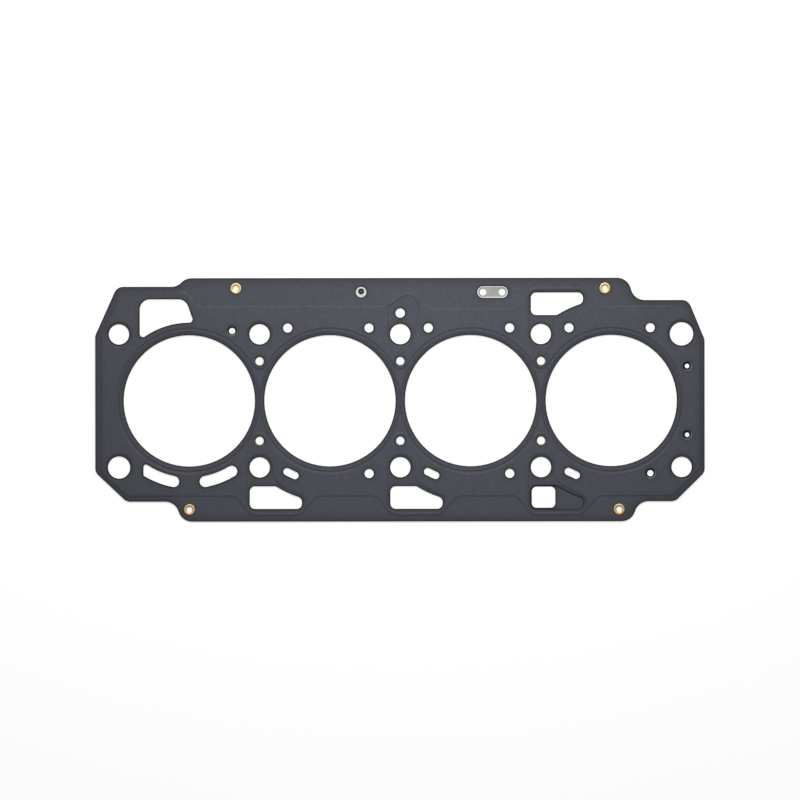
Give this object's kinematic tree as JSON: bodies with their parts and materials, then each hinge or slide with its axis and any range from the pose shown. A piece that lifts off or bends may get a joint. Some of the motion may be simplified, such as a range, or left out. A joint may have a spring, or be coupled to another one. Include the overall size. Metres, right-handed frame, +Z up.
{
  "type": "cylinder head gasket",
  "caption": "Flat multi-layer steel head gasket for an inline engine, with cylinder bores, head bolt and dowel holes, oil and coolant ports, pressed beads and hollow rivets.",
  "frame": {"origin": "centre of the head bolt pattern, in the plane that rests on the engine block", "axes": "+X along the row of cylinders, to the right in the picture; +Y across it, to the picture's top; +Z up to the cylinder head"},
  "size_m": [0.3899, 0.1558, 0.0016],
  "materials": {
    "coated_steel": "thin dark grey elastomer coating, satin",
    "stopper_steel": "bare spring steel, satin",
    "spacer_steel": "bare rolled steel, dull",
    "ring_steel": "bare spring steel, satin",
    "rivet_brass": "drawn brass, satin"
  },
  "bodies": {
    "root": {"upper_bead_layer": "coated_steel", "stopper_layer": "stopper_steel", "spacer_layer": "spacer_steel", "lower_bead_layer": "coated_steel", "stopper_ring_1": "ring_steel", "stopper_ring_2": "ring_steel", "stopper_ring_3": "ring_steel", "stopper_ring_4": "ring_steel", "rivet_1": "rivet_brass", "rivet_2": "rivet_brass", "rivet_3": "rivet_brass", "rivet_4": "rivet_brass"}
  },
  "joints": []
}
